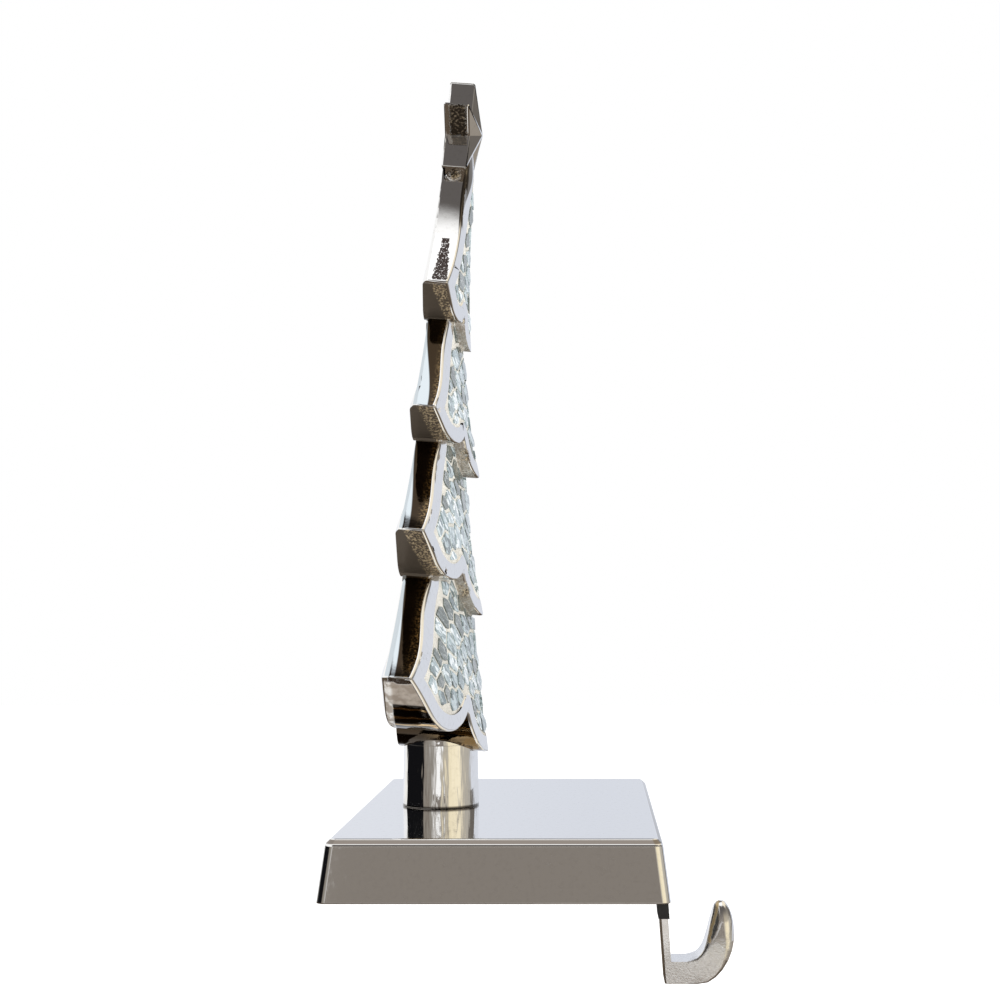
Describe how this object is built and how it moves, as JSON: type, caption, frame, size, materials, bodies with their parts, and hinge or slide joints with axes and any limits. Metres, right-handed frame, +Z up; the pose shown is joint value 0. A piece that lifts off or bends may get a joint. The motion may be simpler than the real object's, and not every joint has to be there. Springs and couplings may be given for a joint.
{
  "type": "mantel stocking holder",
  "caption": "Weighted mantel stocking holder: drafted rectangular base with a J hook at its front edge and a cast tiered tree set with crackle-glass mosaic, topped by a star.",
  "frame": {"origin": "centre of the felt face under the base, on the mantel shelf", "axes": "+X towards the front, where the hook hangs over the shelf's edge; +Y across the tree; +Z up"},
  "size_m": [0.1167, 0.1494, 0.2764],
  "materials": {
    "nickel_casting": "polished nickel plate on cast aluminium",
    "nickel_steel": "polished nickel plate on steel",
    "grout": "matt cream grout",
    "crackle_glass": "mirror-backed crackle glass",
    "iron": "raw cast iron",
    "zinc_steel": "zinc plated",
    "felt": "black felt",
    "sleeve_rubber": "matt black rubber"
  },
  "bodies": {
    "root": {"tree_casting": "nickel_casting", "star": "nickel_casting", "grout_tier_1": "grout", "grout_tier_2": "grout", "grout_tier_3": "grout", "grout_tier_4": "grout", "glass_tier_1": "crackle_glass", "glass_tier_2": "crackle_glass", "glass_tier_3": "crackle_glass", "glass_tier_4": "crackle_glass", "base_shell": "nickel_casting", "ballast_plate": "iron", "ballast_screws": "zinc_steel", "felt_pad": "felt", "trunk_washer": "zinc_steel", "trunk_bolt": "zinc_steel", "hook": "nickel_steel", "hook_screws": "zinc_steel", "hook_sleeve": "sleeve_rubber"}
  },
  "joints": []
}
